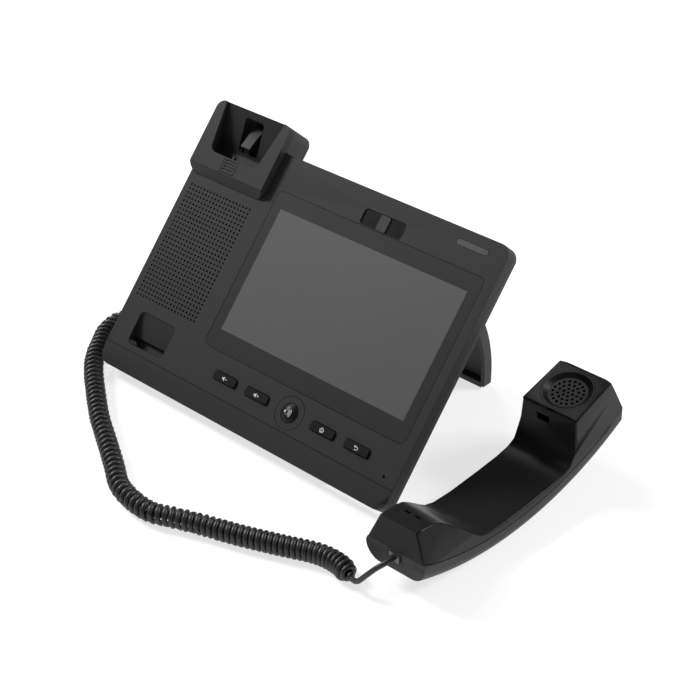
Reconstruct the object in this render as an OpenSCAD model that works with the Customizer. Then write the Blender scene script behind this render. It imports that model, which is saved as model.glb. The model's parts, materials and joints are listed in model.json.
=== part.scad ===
// Desk video phone with a 7 inch touch screen, a flip-out stand and a corded handset.
// Millimetres, +Z up. The phone faces -Y. The origin is the middle of the front rubber
// foot's underside, so Z = 0 is the desk.
// Body pieces are drawn in the face frame: X to the right, Y up the face, Z out of the
// face, with the origin at the middle of the front face. on_face() leans it back.

/* [Body] */
// Width of the body
body_w = 252; // [240:1:320]
// Height of the body, measured along the face
body_h = 175; // [160:1:220]
// Thickness of the body at its sides
body_t = 13; // [12:0.5:18]
// Depth of the front shell, the rest being the rear cover
front_t = 7; // [6:0.5:9]
// Radius of the body's corners
corner_r = 8; // [3:0.5:20]
// Wall of the front shell
wall = 2.5; // [2.2:0.1:4]
// Wall of the rear cover
rear_wall = 2; // [1.6:0.1:4]
// Angle that the face leans back from upright
lean = 41.5; // [30:0.5:55]
// Height of the sloping chin strip along the lower edge
chin_h = 14.6; // [6:0.5:20]
// Drop of the chin strip at the lower edge
chin_drop = 1.2; // [0.4:0.1:2]

/* [Screen] */
// Width of the touch panel
panel_w = 169.4; // [165:0.2:180]
// Height of the touch panel
panel_h = 110; // [104:0.5:120]
// Thickness of the touch panel
panel_t = 1.6; // [1:0.1:2]
// Middle of the touch panel, right of the middle of the face
panel_x = 34; // [20:0.5:40]
// Middle of the touch panel, above the middle of the face
panel_y = 9.1; // [0:0.1:14]
// Width of the lit picture, a 7 inch wide display
screen_w = 154.2; // [120:0.1:158]
// Height of the lit picture
screen_h = 85.9; // [70:0.1:92]
// Thickness of the display module
display_t = 3.2; // [2:0.1:4]

/* [Keys] */
// Distance from key to key
key_pitch = 28.1; // [24:0.1:32]
// Width of a bar key
key_w = 19.8; // [12:0.1:22]
// Height of a bar key
key_h = 5.9; // [4:0.1:8]
// Radius of the round speaker key
dome_r = 6.2; // [4:0.1:8]
// Outer radius of the trim ring round the speaker key
ring_r = 10.7; // [9.5:0.1:12]
// Travel of every key
key_travel = 0.8; // [0.4:0.1:1.2]
// Height of the keys above the face
key_proud = 1.3; // [0.6:0.1:2]
// Gap all round a key
key_gap = 0.35; // [0.25:0.05:0.6]

/* [Camera and status light] */
// Width of the camera window
window_w = 33.6; // [28:0.2:40]
// Height of the camera window
window_h = 10.4; // [8:0.2:12]
// Width of the sliding privacy shutter
shutter_w = 7.6; // [6.5:0.1:10]
// Length of the status light
light_w = 23.6; // [12:0.2:30]
// Height of the status light
light_h = 3.6; // [2:0.1:5]

/* [Speaker grille] */
// Columns of sound holes
grille_cols = 19; // [8:1:19]
// Rows of sound holes
grille_rows = 28; // [10:1:28]
// Distance from hole to hole
grille_pitch = 3; // [2.4:0.1:3]
// Diameter of a sound hole
grille_hole_d = 1.5; // [1:0.1:1.8]
// Radius of the loudspeaker
speaker_r = 25; // [18:0.5:26]

/* [Cradle] */
// Width of the cradle
cradle_w = 66; // [60:0.5:72]
// Height of the cradle
cradle_h = 52; // [48:0.5:58]
// Height of the cradle's top above the face
cradle_rise = 6; // [4:0.5:10]
// Distance that the cradle stands up past the body's top edge
cradle_over = 16.5; // [12:0.5:24]
// Width of the ear cup along its lower edge
cup_w = 44; // [42:0.5:48]
// Depth of the ear cup
cup_depth = 12; // [10:0.5:13]
// Depth of the head of the rear cover behind the face
head_t = 22; // [21:0.5:30]
// Width of the hook lever
lever_w = 8.6; // [6:0.1:12]

/* [Stand] */
// Width of the stand
stand_w = 158; // [120:1:180]
// Radius of the curved plate's outer face
stand_r = 101; // [95:1:130]
// Thickness of the stand's plate
stand_t = 3; // [2:0.5:4]
// Depth of the flanges down the stand's sides
flange_d = 8; // [5:0.5:10]
// Distance from the front foot to the middle of the stand's foot
stand_reach = 146; // [135:1:165]
// Height of the hinge along the face, above the face's middle
hinge_up = 48; // [44:1:56]
// Radius of the hinge pins
hinge_pin_r = 1.5; // [1:0.1:2]
// Radius of the stand's hinge barrels
barrel_r = 3.6; // [3.2:0.1:4.2]
// Height of the rubber pads under the stand
pad_t = 1.6; // [1:0.1:3]

/* [Rear housing] */
// Width of the housing that bulges behind the boards
bulge_w = 140; // [120:1:146]
// Depth of the bulge behind the rear cover
bulge_d = 11; // [10:0.5:14]
// Width of the network sockets
lan_w = 16; // [15.5:0.1:17]
// Height of the network sockets
lan_h = 13.4; // [13:0.1:14]
// Depth of the network sockets
lan_d = 18; // [15:0.5:22]

/* [Handset] */
// Width of the handset at its seam
handset_w = 43.4; // [40:0.2:50]
// Width of the mouthpiece's top
mouth_top_w = 27; // [22:0.5:34]
// Width of the earpiece's top
ear_top_w = 39; // [34:0.5:40]
// Radius of the handset's curved back
back_r = 235; // [220:5:300]
// Depth of the handset's back shell
back_shell_t = 13.5; // [11:0.5:15]
// Wall of the handset's shells
handset_wall = 2.2; // [1.6:0.1:3]
// Radius of the dished earpiece recess
ear_dish_r = 16.5; // [14:0.5:17.5]
// Distance from the body's right side to the middle of the handset
handset_clear = 44.4; // [40:0.2:80]
// Lowest point of the handset, behind the front foot
handset_y = 28; // [10:0.5:60]

/* [Cord] */
// Outer diameter of the coiled cord
coil_d = 13; // [10:0.5:16]
// Diameter of the cord's wire
wire_d = 3.4; // [2.5:0.1:5]

/* [Fits] */
// Gap between fixed pieces that drop into a recess
seat_gap = 0.2; // [0.1:0.05:0.4]
// Gap between moving pieces and their surroundings
move_gap = 0.35; // [0.3:0.05:0.6]
// Radial clearance of a shaft in its bore
shaft_gap = 0.05; // [0.02:0.01:0.1]

/* [Hidden] */
$fn = 64;
eps = 0.01;

charcoal = [0.13, 0.13, 0.135];
black = [0.07, 0.07, 0.075];
graphite = [0.2, 0.2, 0.2];
steel = [0.7, 0.71, 0.72];
board_green = [0.1, 0.32, 0.2];
board_t = 1.6;

// ---- Where the face frame stands ----
tilt = 90 - lean;
corner_clear = 1.5;
foot_w = 9;
foot_start = 2.5;
foot_end = 14;
foot_l = 150;
corner_y = -foot_w / 2 - foot_start * cos(tilt);
face_y = corner_y + body_h / 2 * cos(tilt) - body_t * sin(tilt);
face_z = corner_clear + body_h / 2 * sin(tilt) + body_t * cos(tilt);

module on_face() {
  translate([0, face_y, face_z]) rotate([tilt, 0, 0]) children();
}

// Desk-frame place of a point (y, z) of the face frame
function desk_y(y, z) = face_y + y * cos(tilt) - z * sin(tilt);
function desk_z(y, z) = face_z + y * sin(tilt) + z * cos(tilt);

// ---- Shared shapes ----
// A flat outline with four round corners, centred
module round_rect(w, h, r) {
  difference() {
    square([w, h], center = true);
    for (sx = [-1, 1], sy = [-1, 1])
      translate([sx * (w / 2 - r), sy * (h / 2 - r)]) difference() {
        translate([sx > 0 ? 0 : -r - 1, sy > 0 ? 0 : -r - 1]) square([r + 1, r + 1]);
        circle(r);
      }
  }
}

// A plate with round corners, from z0 up to z1
module plate(w, h, r, z0, z1) {
  translate([0, 0, z0]) linear_extrude(z1 - z0) round_rect(w, h, r);
}

// A plain block, centred in X and Y, from z0 up to z1
module block(w, h, z0, z1) {
  translate([-w / 2, -h / 2, z0]) cube([w, h, z1 - z0]);
}

// An outline in (Y, Z) drawn out along X, centred
module across(w) {
  rotate([90, 0, 90]) translate([0, 0, -w / 2]) linear_extrude(w) children();
}

// ---- Places on the face ----
key_row_y = -60.2;
key_x0 = panel_x + 0.4;
window_x = panel_x;
window_y = panel_y + panel_h / 2 + 1 + window_h / 2;
window_floor = 1.7;
light_x = 100.5;
light_y = body_h / 2 - 8.9;
mic_x = body_w / 2 - 9.8;
mic_y = -body_h / 2 + 20;
head_x = -body_w / 2 + cradle_w / 2;
grille_y = 4;
mouth_w = 33;
mouth_y = -57;
mouth_h = 23;
cradle_top = body_h / 2 + cradle_over;
cradle_low = cradle_top - cradle_h;
cup_low = cradle_low + 17.5;
cup_floor = cradle_rise - cup_depth;
tub_wall = 2;
screw_r = 1.5;
screw_head_r = 2.8;
screw_spots = [
  [-body_w / 2 + 9, -body_h / 2 + 9], [body_w / 2 - 9, -body_h / 2 + 9],
  [body_w / 2 - 9, body_h / 2 - 9], [-48, body_h / 2 - 9], [38, body_h / 2 - 6.5]
];

// ---- Body shells ----
mouth_depth = 5.5;
mouth_slot_depth = 9;
mouth_slot_h = 5.5;
mouth_r = 3.4;
tray_wall = 1.6;

// Side profile (Y, Z) of the mouthpiece recess: a floor that slopes in, then a deep slot
module mouth_profile(grow) {
  low = mouth_y - mouth_h / 2 - grow;
  high = mouth_y + mouth_h / 2 + grow;
  slot = mouth_y - mouth_h / 2 + mouth_slot_h;
  polygon([
    [low, eps], [low, -mouth_slot_depth - grow], [slot + grow, -mouth_slot_depth - grow],
    [slot + grow, -mouth_depth - grow], [high, -0.8 - grow], [high, eps]
  ]);
}

module front_shell() color(charcoal) on_face() difference() {
  union() {
    difference() {
      plate(body_w, body_h, corner_r, -front_t, 0);
      plate(body_w - 2 * wall, body_h - 2 * wall, corner_r - wall, -front_t - 1, -wall);
    }
    // Screw bosses down to the rear cover
    for (s = screw_spots)
      translate([s[0], s[1], -front_t]) cylinder(h = front_t - wall + eps, r = 3.4);
    // Tray of the mouthpiece recess
    translate([head_x, 0, 0]) intersection() {
      across(mouth_w + 2 * tray_wall) mouth_profile(tray_wall);
      translate([0, mouth_y, 0])
        plate(mouth_w + 2 * tray_wall, mouth_h + 2 * tray_wall, mouth_r + tray_wall, -body_t, -wall / 2);
    }
  }
  // The chin strip slopes back to the lower edge
  across(body_w + 2) polygon([
    [-body_h / 2 + chin_h, 0], [-body_h / 2 + chin_h, 1],
    [-body_h / 2 - 1, 1], [-body_h / 2 - 1, -chin_drop]
  ]);
  // Seat and opening of the touch panel
  translate([panel_x, panel_y, 0]) {
    plate(panel_w + 2 * seat_gap, panel_h + 2 * seat_gap, 4, -panel_t - tape_t, 1);
    translate([0, screen_dy, 0])
      block(screen_w + 6, screen_h + 5, -front_t - 1, 1);
  }
  // Camera window seat and lens opening
  translate([window_x, window_y, 0]) {
    plate(window_w + 2 * seat_gap, window_h + 2 * seat_gap, 2.2, -window_floor, 1);
    translate([0, 0, -front_t]) cylinder(h = front_t, r = lens_r + move_gap);
  }
  // Status light slot
  translate([light_x, light_y, 0])
    plate(light_w + 2 * seat_gap, light_h + 2 * seat_gap, light_h / 2, -front_t, 1);
  // Key openings
  for (i = [-2, -1, 1, 2]) translate([key_x0 + i * key_pitch, key_row_y, 0])
    plate(key_w + 2 * key_gap, key_h + 2 * key_gap, 1.6 + key_gap, -front_t, 1);
  translate([key_x0, key_row_y, 0]) {
    translate([0, 0, -ring_t]) cylinder(h = ring_t + 1, r = ring_r + seat_gap);
    translate([0, 0, -front_t]) cylinder(h = front_t, r = dome_r + key_gap);
  }
  // Microphone hole
  translate([mic_x, mic_y, -front_t]) cylinder(h = front_t + 1, r = 0.9);
  // Sound holes
  translate([head_x, grille_y, 0])
    for (i = [0 : grille_cols - 1], j = [0 : grille_rows - 1])
      translate([
        (i - (grille_cols - 1) / 2) * grille_pitch,
        (j - (grille_rows - 1) / 2) * grille_pitch, -wall - 1
      ]) cylinder(h = wall + 2, r = grille_hole_d / 2, $fn = 16);
  // Mouthpiece recess
  translate([head_x, 0, 0]) intersection() {
    across(mouth_w) mouth_profile(0);
    translate([0, mouth_y, 0]) plate(mouth_w, mouth_h, mouth_r, -body_t, 1);
  }
  // Opening that the ear cup drops into
  translate([head_x, (cup_low - 4 + body_h / 2 + 5) / 2, 0])
    block(cradle_w - 4, body_h / 2 + 5 - cup_low + 4, -front_t - 1, 1);
  // Screw pilot holes
  for (s = screw_spots)
    translate([s[0], s[1], -front_t - 1]) cylinder(h = front_t - wall + 0.6, r = screw_r);
}

module rear_screws() color(steel) on_face() for (s = screw_spots)
  translate([s[0], s[1], 0]) {
    translate([0, 0, -body_t + 0.4]) cylinder(h = body_t - wall - 1.2, r = screw_r - 0.05);
    translate([0, 0, -body_t + 0.4]) cylinder(h = 1.6, r = screw_head_r);
  }

// The rear cover's bulge in side view (Y, Z), grown or shrunk by g
bulge_low = -52;
bulge_flat = 8;
bulge_high = 34;
bulge_floor = -body_t - bulge_d;
module bulge_profile(g) {
  polygon([
    [bulge_low - g, -body_t + 3], [bulge_low - g, bulge_floor - g],
    [bulge_flat + g, bulge_floor - g], [bulge_high + g, -body_t - 2 - g], [bulge_high + g, -body_t + 3]
  ]);
}

// The head's outline in the face plane, from the cradle's foot to its top
head_low = cradle_low + 6;
module head_outline(g) {
  translate([head_x, (head_low + cradle_top) / 2])
    round_rect(cradle_w + 2 * g, cradle_top - head_low + 2 * g, 6 + g);
}

port_y = -36;
port_z = -17.6;
lan_z = bulge_floor + rear_wall + 0.3;
lug_gap = 9;
lug_t = 5;
hinge_z = -body_t - barrel_r - 0.8;
hinge_x = stand_w / 2 - 16;

module rear_cover() color(charcoal) on_face() difference() {
  union() {
    difference() {
      union() {
        plate(body_w, body_h, corner_r, -body_t + 2, -front_t);
        plate(body_w - 2, body_h - 2, corner_r - 1, -body_t + 0.7, -front_t);
        plate(body_w - 4.6, body_h - 4.6, corner_r - 2.3, -body_t, -front_t);
        across(bulge_w) bulge_profile(0);
        // Head that carries the cradle
        translate([0, 0, -head_t + 3]) linear_extrude(head_t - 3 - front_t) head_outline(0);
        translate([0, 0, -head_t]) linear_extrude(3 + eps) head_outline(-2);
        translate([0, 0, -front_t - eps]) linear_extrude(front_t + eps) intersection() {
          head_outline(0);
          translate([head_x, body_h / 2 + seat_gap + 20]) square([cradle_w + 2, 40], center = true);
        }
      }
      plate(body_w - 2 * rear_wall - 2, body_h - 2 * rear_wall - 2, corner_r - 3, -body_t + rear_wall, 1);
      across(bulge_w - 2 * rear_wall) bulge_profile(-rear_wall);
      translate([0, 0, -head_t + rear_wall]) linear_extrude(head_t + 1) head_outline(-rear_wall - 0.4);
    }
    // Screw posts
    for (s = screw_spots)
      translate([s[0], s[1], -body_t + eps]) cylinder(h = body_t - front_t - eps, r = 4.4);
    // Hinge lugs, a pair at each side of the stand
    for (sx = [-1, 1], k = [-1, 1])
      translate([sx * hinge_x + k * (lug_gap + lug_t) / 2, 0, 0]) across(lug_t) hinge_lug_profile();
  }
  // Screw holes with sunk heads
  for (s = screw_spots) translate([s[0], s[1], -body_t - 1]) {
    cylinder(h = body_t + 2, r = screw_r + 0.2);
    cylinder(h = 3.1, r = screw_head_r + 0.25);
  }
  // Hinge bores
  for (sx = [-1, 1]) translate([sx * hinge_x - lug_gap / 2 - lug_t - 1, hinge_up, hinge_z])
    rotate([0, 90, 0]) cylinder(h = lug_gap + 2 * lug_t + 2, r = hinge_pin_r);
  // Windows for the sockets in the bulge's lower wall
  for (sx = [-1, 1]) translate([sx * lan_x, bulge_low, lan_z + lan_h / 2])
    cube([lan_w + 2 * seat_gap, 12, lan_h + 2 * seat_gap], center = true);
  translate([power_x, bulge_low - 1, lan_z + 5]) rotate([-90, 0, 0]) cylinder(h = 8, r = power_r + seat_gap);
  // Window for the handset port in the bulge's left wall
  translate([-bulge_w / 2, port_y, port_z]) cube([8, port_w + 2 * seat_gap, port_h + 2 * seat_gap], center = true);
  // Cooling slots
  for (i = [-6 : 6]) translate([i * 9, 62, -body_t]) cube([3, 14, 12], center = true);
}

module hinge_lug_profile() {
  hull() {
    translate([hinge_up, hinge_z]) circle(barrel_r - 0.3, $fn = 32);
    translate([hinge_up - 5, -body_t + 0.2]) square([10, 0.4]);
  }
}

// A rubber wedge between the rear cover's lower edge and the desk
module front_foot() color(black) across(foot_l) polygon([
  [-foot_w / 2, 0], [foot_w / 2, 0],
  [corner_y + foot_end * cos(tilt), corner_clear + foot_end * sin(tilt)],
  [-foot_w / 2, corner_clear + foot_start * sin(tilt)]
]);

// ---- Screen ----
tape_t = 0.2;
screen_dy = 1;

module touch_panel() color([0.05, 0.05, 0.06]) on_face() translate([panel_x, panel_y, 0])
  plate(panel_w, panel_h, 3.8, -panel_t, 0);

module panel_tape() color(black) on_face() translate([panel_x, panel_y, 0]) difference() {
  plate(panel_w - 1, panel_h - 1, 3.3, -panel_t - tape_t, -panel_t);
  translate([0, screen_dy, 0]) block(screen_w + 6.4, screen_h + 5.4, -panel_t - 1, 1);
}

module display_module() color([0.3, 0.3, 0.31]) on_face() translate([panel_x, panel_y + screen_dy, 0])
  block(screen_w + 5.4, screen_h + 4.4, -panel_t - tape_t - display_t, -panel_t - tape_t);

bracket_t = 1;
bracket_z = -panel_t - tape_t - display_t - bracket_t;
module display_bracket() color(steel) on_face() translate([panel_x, panel_y + screen_dy, 0]) difference() {
  block(screen_w + 9, screen_h + 5, bracket_z, bracket_z + bracket_t);
  for (sx = [-1, 1]) translate([sx * 38, 0, 0]) block(50, 60, bracket_z - 1, bracket_z + 2);
}

// ---- Boards and sockets ----
board_z = bulge_floor + rear_wall + 0.3 + lan_h;
lan_x = 32;
power_x = 0;
power_r = 4;
port_w = 10;
port_h = 8.4;
port_d = 13;

module main_board() color(board_green) on_face() translate([0, -9, 0])
  block(bulge_w - 2 * rear_wall - 2, 80, board_z, board_z + 1.2);

// A square socket that opens downwards, with its mouth in the bulge's lower wall
module lan_shell(x) {
  translate([x, bulge_low + 0.6 + lan_d / 2, lan_z + lan_h / 2]) difference() {
    cube([lan_w, lan_d, lan_h], center = true);
    translate([0, -3, -0.6]) cube([11.8, lan_d, 8.6], center = true);
    translate([0, -lan_d / 2, -5.4]) cube([6.2, 14, 3], center = true);
  }
}
module lan_socket() color(graphite) on_face() lan_shell(-lan_x);
module pc_socket() color(graphite) on_face() lan_shell(lan_x);

module power_socket() color(black) on_face()
  translate([power_x, bulge_low + 0.6, lan_z + 5]) rotate([-90, 0, 0]) {
    difference() {
      cylinder(h = 12, r = power_r);
      translate([0, 0, -1]) cylinder(h = 10, r = 2.8);
    }
    translate([0, 0, 2]) cylinder(h = 8, r = 0.95);
  }

// The plug space of a handset socket: mouth at z = 0, opening towards +Z
plug_w = 7.6;
plug_h = 6;
plug_seat = 9;
module handset_socket_shape() difference() {
  translate([-port_w / 2, -port_h / 2, -port_d]) cube([port_w, port_h, port_d]);
  translate([-plug_w / 2 - seat_gap, -plug_h / 2 - seat_gap, -plug_seat - seat_gap])
    cube([plug_w + 2 * seat_gap, plug_h + 2 * seat_gap, plug_seat + 2]);
}

// The clear plug: a block in the socket and a collar that the wire leaves
module plug_shape(out) difference() {
  union() {
    translate([-plug_w / 2, -plug_h / 2, -plug_seat]) cube([plug_w, plug_h, plug_seat + out]);
    translate([-1.6, plug_h / 2 - 0.4, -plug_seat + 2]) cube([3.2, 0.5, plug_seat + out - 3]);
  }
  for (i = [-1.5 : 1 : 1.5])
    translate([i * 1.27 - 0.25, -plug_h / 2 - 1, -plug_seat - 1]) cube([0.5, 2, 4]);
}
base_plug_out = 3;
handset_plug_out = 1.2;

module at_base_port() on_face() translate([-bulge_w / 2 - 0.4, port_y, port_z])
  rotate([0, -90, 0]) rotate([0, 0, 90]) children();
module handset_port() color(graphite) at_base_port() handset_socket_shape();
module base_plug() color([0.5, 0.5, 0.5]) at_base_port() plug_shape(base_plug_out);

// ---- Loudspeaker behind the sound holes ----
module loudspeaker() color([0.16, 0.16, 0.17]) on_face()
  translate([head_x, grille_y, 0]) rotate_extrude() polygon([
    [0, -10.6], [11, -10.6], [11, -7.6], [speaker_r - 3, -5.4], [speaker_r, -5.4], [speaker_r, -4.2],
    [speaker_r - 2, -4.2], [speaker_r - 4, -4.6], [9, -6.6], [6, -5.8], [0, -5.2]
  ]);

module speaker_gasket() color([0.1, 0.1, 0.1]) on_face()
  translate([head_x, grille_y, -4.2]) difference() {
    cylinder(h = 4.2 - wall, r = speaker_r);
    translate([0, 0, -1]) cylinder(h = 4, r = speaker_r - 2.4);
  }

module base_microphone() color(steel) on_face()
  translate([mic_x - 2, mic_y, -wall - 2.2]) cylinder(h = 2.2, r = 3);

// ---- Cradle with its hook parts ----
cup_top_w = cup_w + 10;
cup_r = 6;
lever_x = head_x;
pivot_y = cradle_top - 7.6;
pivot_z = cup_floor - 3.2;
pivot_r = 1;
slot_low = cradle_top - 26.6;
slot_w = lever_w + 4.4;
slot_h = cup_floor - pivot_z + 7;
well_w = slot_w + 4;
well_top = cradle_top - 4.6;
// Where the cup's floor starts to rise, and its height at the cradle's upper end
cup_slope_low = cup_low + 6;
cup_end = cradle_rise - 0.6;

// Flat outline of the ear cup: narrower below, open at the cradle's top
module cup_outline(g) {
  intersection() {
    union() {
      polygon([
        [-cup_w / 2 - g, cup_low + cup_r], [cup_w / 2 + g, cup_low + cup_r],
        [cup_top_w / 2 + g, cradle_top + 2], [-cup_top_w / 2 - g, cradle_top + 2]
      ]);
      translate([0, cup_low + cup_r]) round_rect(cup_w + 2 * g, 2 * cup_r + 2 * g, cup_r);
    }
    translate([-cradle_w / 2, cup_low - g]) square([cradle_w, cradle_top + 2 - cup_low + g]);
  }
}

module cradle_cup() color(charcoal) on_face() difference() {
  union() {
    // Raised top plate with rounded corners, cut to a slope along its lower edge
    intersection() {
      translate([head_x, (cradle_low + cradle_top) / 2, 0])
        plate(cradle_w, cradle_h, 6, 0, cradle_rise);
      translate([head_x, 0, 0]) across(cradle_w + 2) polygon([
        [cradle_low, -1], [cradle_low, 0], [cradle_low + 6.2, cradle_rise],
        [cradle_top + 1, cradle_rise], [cradle_top + 1, -1]
      ]);
    }
    // Tub of the ear cup, reaching down through the front shell
    translate([head_x, 0, cup_floor - tub_wall]) linear_extrude(tub_wall - cup_floor + eps)
      intersection() {
        cup_outline(tub_wall);
        translate([-cradle_w / 2, 0]) square([cradle_w, cradle_top - rear_wall - 1]);
      }
    // Lugs that hold the lever's pin
    for (sx = [-1, 1]) translate([lever_x + sx * (lever_w / 2 + move_gap + 1.5), pivot_y, pivot_z])
      rotate([0, 90, 0]) cylinder(h = 3, r = 2.4, center = true);
  }
  // The cup itself, its floor rising to the cradle's upper end
  intersection() {
    translate([head_x, 0, cup_floor]) linear_extrude(cup_depth + 1) cup_outline(0);
    translate([head_x, 0, 0]) across(cradle_w) polygon([
      [cup_low - 1, cradle_rise + 2], [cup_low - 1, cup_floor - 1], [cup_low, cup_floor],
      [cup_slope_low, cup_floor], [cradle_top + 3, cup_end], [cradle_top + 3, cradle_rise + 2]
    ]);
  }
  // Well round the lever in the cup's floor, and the slot for the lever below it
  translate([lever_x, (slot_low + well_top) / 2, 0])
    plate(well_w, well_top - slot_low, 2.5, cup_floor, cradle_rise + 1);
  translate([lever_x - lever_w / 2 - move_gap, slot_low, pivot_z - 6])
    cube([lever_w + 2 * move_gap, well_top - slot_low, slot_h]);
  translate([lever_x - slot_w / 2, slot_low, pivot_z - 6])
    cube([slot_w, pivot_y - 3 - slot_low, slot_h]);
  // Bore for the lever's pin
  translate([lever_x - 10, pivot_y, pivot_z]) rotate([0, 90, 0]) cylinder(h = 20, r = pivot_r);
  // Slot for the hook clip, open into the cup
  translate([head_x - clip_w / 2 - move_gap, clip_low - move_gap, cradle_rise - clip_t - move_gap])
    cube([clip_w + 2 * move_gap, cup_low + 1 - clip_low, clip_t + 2]);
}

clip_w = 12;
clip_t = 3;
clip_low = cradle_low + 7.6;
clip_h = cup_low - clip_low;
// Ribbed clip that can be pulled out and turned round to hold the handset on a wall
module hook_clip() color(graphite) on_face() translate([head_x, clip_low, cradle_rise - clip_t]) {
  difference() {
    translate([-clip_w / 2, 0, 0]) cube([clip_w, clip_h, clip_t]);
    for (k = [0 : 3]) translate([-clip_w / 2 + 1.4, 1.4 + k * 2.1, clip_t - 0.7])
      cube([clip_w - 2.8, 1, 2]);
  }
  translate([0, clip_h, clip_t / 2]) rotate([-90, 0, 0]) cylinder(h = 2.4, r = 1.3);
}

// Sloping tongue that the handset presses; it turns on a pin near its upper end
lever_len = 16;
lever_lift = 6;
module hook_lever() color(charcoal) on_face() difference() {
  translate([lever_x, 0, 0]) across(lever_w) union() {
    polygon([
      [pivot_y - 0.2, pivot_z + 3.6], [pivot_y - 7, cup_floor + lever_lift - 2.4],
      [pivot_y - lever_len, cup_floor + lever_lift],
      [pivot_y - lever_len - 0.7, cup_floor + lever_lift - 1.2],
      [pivot_y - lever_len + 1, cup_floor - 2], [pivot_y, pivot_z - 2.2]
    ]);
    translate([pivot_y, pivot_z]) circle(2.4);
  }
  translate([lever_x - 10, pivot_y, pivot_z]) rotate([0, 90, 0]) cylinder(h = 20, r = pivot_r + shaft_gap);
}

module hook_lever_pin() color(steel) on_face()
  translate([lever_x, pivot_y, pivot_z]) rotate([0, 90, 0])
    cylinder(h = lever_w + 2 * move_gap + 6, r = pivot_r, center = true);

// The switch under the lever, its plunger just clear of the pressed lever
switch_top = pivot_z - 3.9;
module hook_switch() color(black) on_face() translate([lever_x, slot_low + 6, 0]) {
  block(7, 10, -head_t + rear_wall, -head_t + rear_wall + 3.4);
  block(3, 3, -head_t + rear_wall + 3, switch_top);
}

// ---- Keys ----
flange = 1.1;
flange_t = 1;
key_bottom = -wall - 0.25 - flange_t;

// A bar key with a low crown and a hidden flange that holds it in the shell
module bar_key(i) on_face() translate([key_x0 + i * key_pitch, key_row_y, 0]) {
  plate(key_w, key_h, 1.6, key_bottom, key_proud - 0.5);
  plate(key_w - 1, key_h - 1, 1.1, key_bottom, key_proud);
  plate(key_w + 2 * flange, key_h + 2 * flange, 2, key_bottom, key_bottom + flange_t);
}
module volume_down_key() color(black) bar_key(-2);
module volume_up_key() color(black) bar_key(-1);
module home_key() color(black) bar_key(1);
module back_key() color(black) bar_key(2);

dome_crown = 2.2;
dome_sphere_r = (dome_r * dome_r + dome_crown * dome_crown) / (2 * dome_crown);
module speaker_key() color(black) on_face() translate([key_x0, key_row_y, 0]) {
  translate([0, 0, key_bottom]) cylinder(h = -key_bottom, r = dome_r);
  translate([0, 0, key_bottom]) cylinder(h = flange_t, r = dome_r + key_gap + flange);
  translate([0, 0, -eps]) intersection() {
    cylinder(h = dome_crown + 1, r = dome_r);
    translate([0, 0, dome_crown - dome_sphere_r]) sphere(dome_sphere_r);
  }
}

ring_t = 1.4;
module speaker_key_ring() color(charcoal) on_face() translate([key_x0, key_row_y, -ring_t])
  difference() {
    cylinder(h = ring_t, r = ring_r);
    translate([0, 0, -1]) cylinder(h = ring_t + 2, r = dome_r + key_gap);
  }

mat_top = key_bottom - key_travel - 0.1;
mat_t = 0.9;
key_row_w = 4 * key_pitch + key_w + 8;
module key_mat() color([0.35, 0.35, 0.36]) on_face() translate([key_x0, key_row_y, 0])
  plate(key_row_w, key_h + 8, 2, mat_top - mat_t, mat_top);
module key_board() color(board_green) on_face() translate([key_x0, key_row_y, 0])
  plate(key_row_w, key_h + 10, 1, mat_top - mat_t - board_t, mat_top - mat_t);

// ---- Camera, shutter and status light ----
lens_r = 3;
module camera_window() color([0.04, 0.04, 0.05]) on_face() translate([window_x, window_y, 0])
  plate(window_w, window_h, 2, -window_floor, -window_floor + 0.7);
module camera_module() color(graphite) on_face() translate([window_x, window_y, 0]) {
  block(8.6, 8.6, -body_t + rear_wall + 0.6, -wall - 0.3);
  translate([0, 0, -wall - 0.4]) cylinder(h = wall + 0.4 - window_floor - 0.05, r = lens_r);
}
shutter_low = -window_floor + 0.7 + 0.1;
module camera_shutter() color([0.3, 0.3, 0.31]) on_face() translate([window_x, window_y, 0])
  plate(shutter_w, window_h + 2 * seat_gap - 2 * move_gap, 0.8, shutter_low, -0.1);

module status_light() color([0.32, 0.32, 0.33]) on_face() translate([light_x, light_y, 0]) {
  plate(light_w, light_h, light_h / 2 - 0.01, -wall - 0.4, 0.1);
  plate(light_w + 2, light_h + 2, light_h / 2 + 0.9, -wall - 1.4, -wall);
}

// ---- Stand ----
hinge_dy = desk_y(hinge_up, hinge_z);
hinge_dz = desk_z(hinge_up, hinge_z);
arc_r = stand_r - stand_t / 2;
chord_y = stand_reach - hinge_dy;
chord = sqrt(chord_y * chord_y + hinge_dz * hinge_dz);
arc_drop = sqrt(arc_r * arc_r - chord * chord / 4);
arc_y = (hinge_dy + stand_reach) / 2 - arc_drop * hinge_dz / chord;
arc_z = hinge_dz / 2 - arc_drop * chord_y / chord;
hinge_turn = atan2(hinge_dz - arc_z, hinge_dy - arc_y);
plate_turn = hinge_turn - 3.5;

// A ring sector about the arc's middle, from the desk up to the plate's top end
module arc_band(r_in, r_out) {
  translate([arc_y, arc_z]) intersection() {
    difference() {
      circle(r_out, $fn = 180);
      circle(r_in, $fn = 180);
    }
    polygon([
      [0, 0], [2 * r_out, pad_t - arc_z - 2 * r_out], [2 * r_out, 2 * r_out * tan(45)],
      [2 * r_out * cos(plate_turn), 2 * r_out * sin(plate_turn)]
    ]);
    translate([-r_out, pad_t - arc_z]) square([2 * r_out, 2 * r_out]);
  }
}

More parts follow.
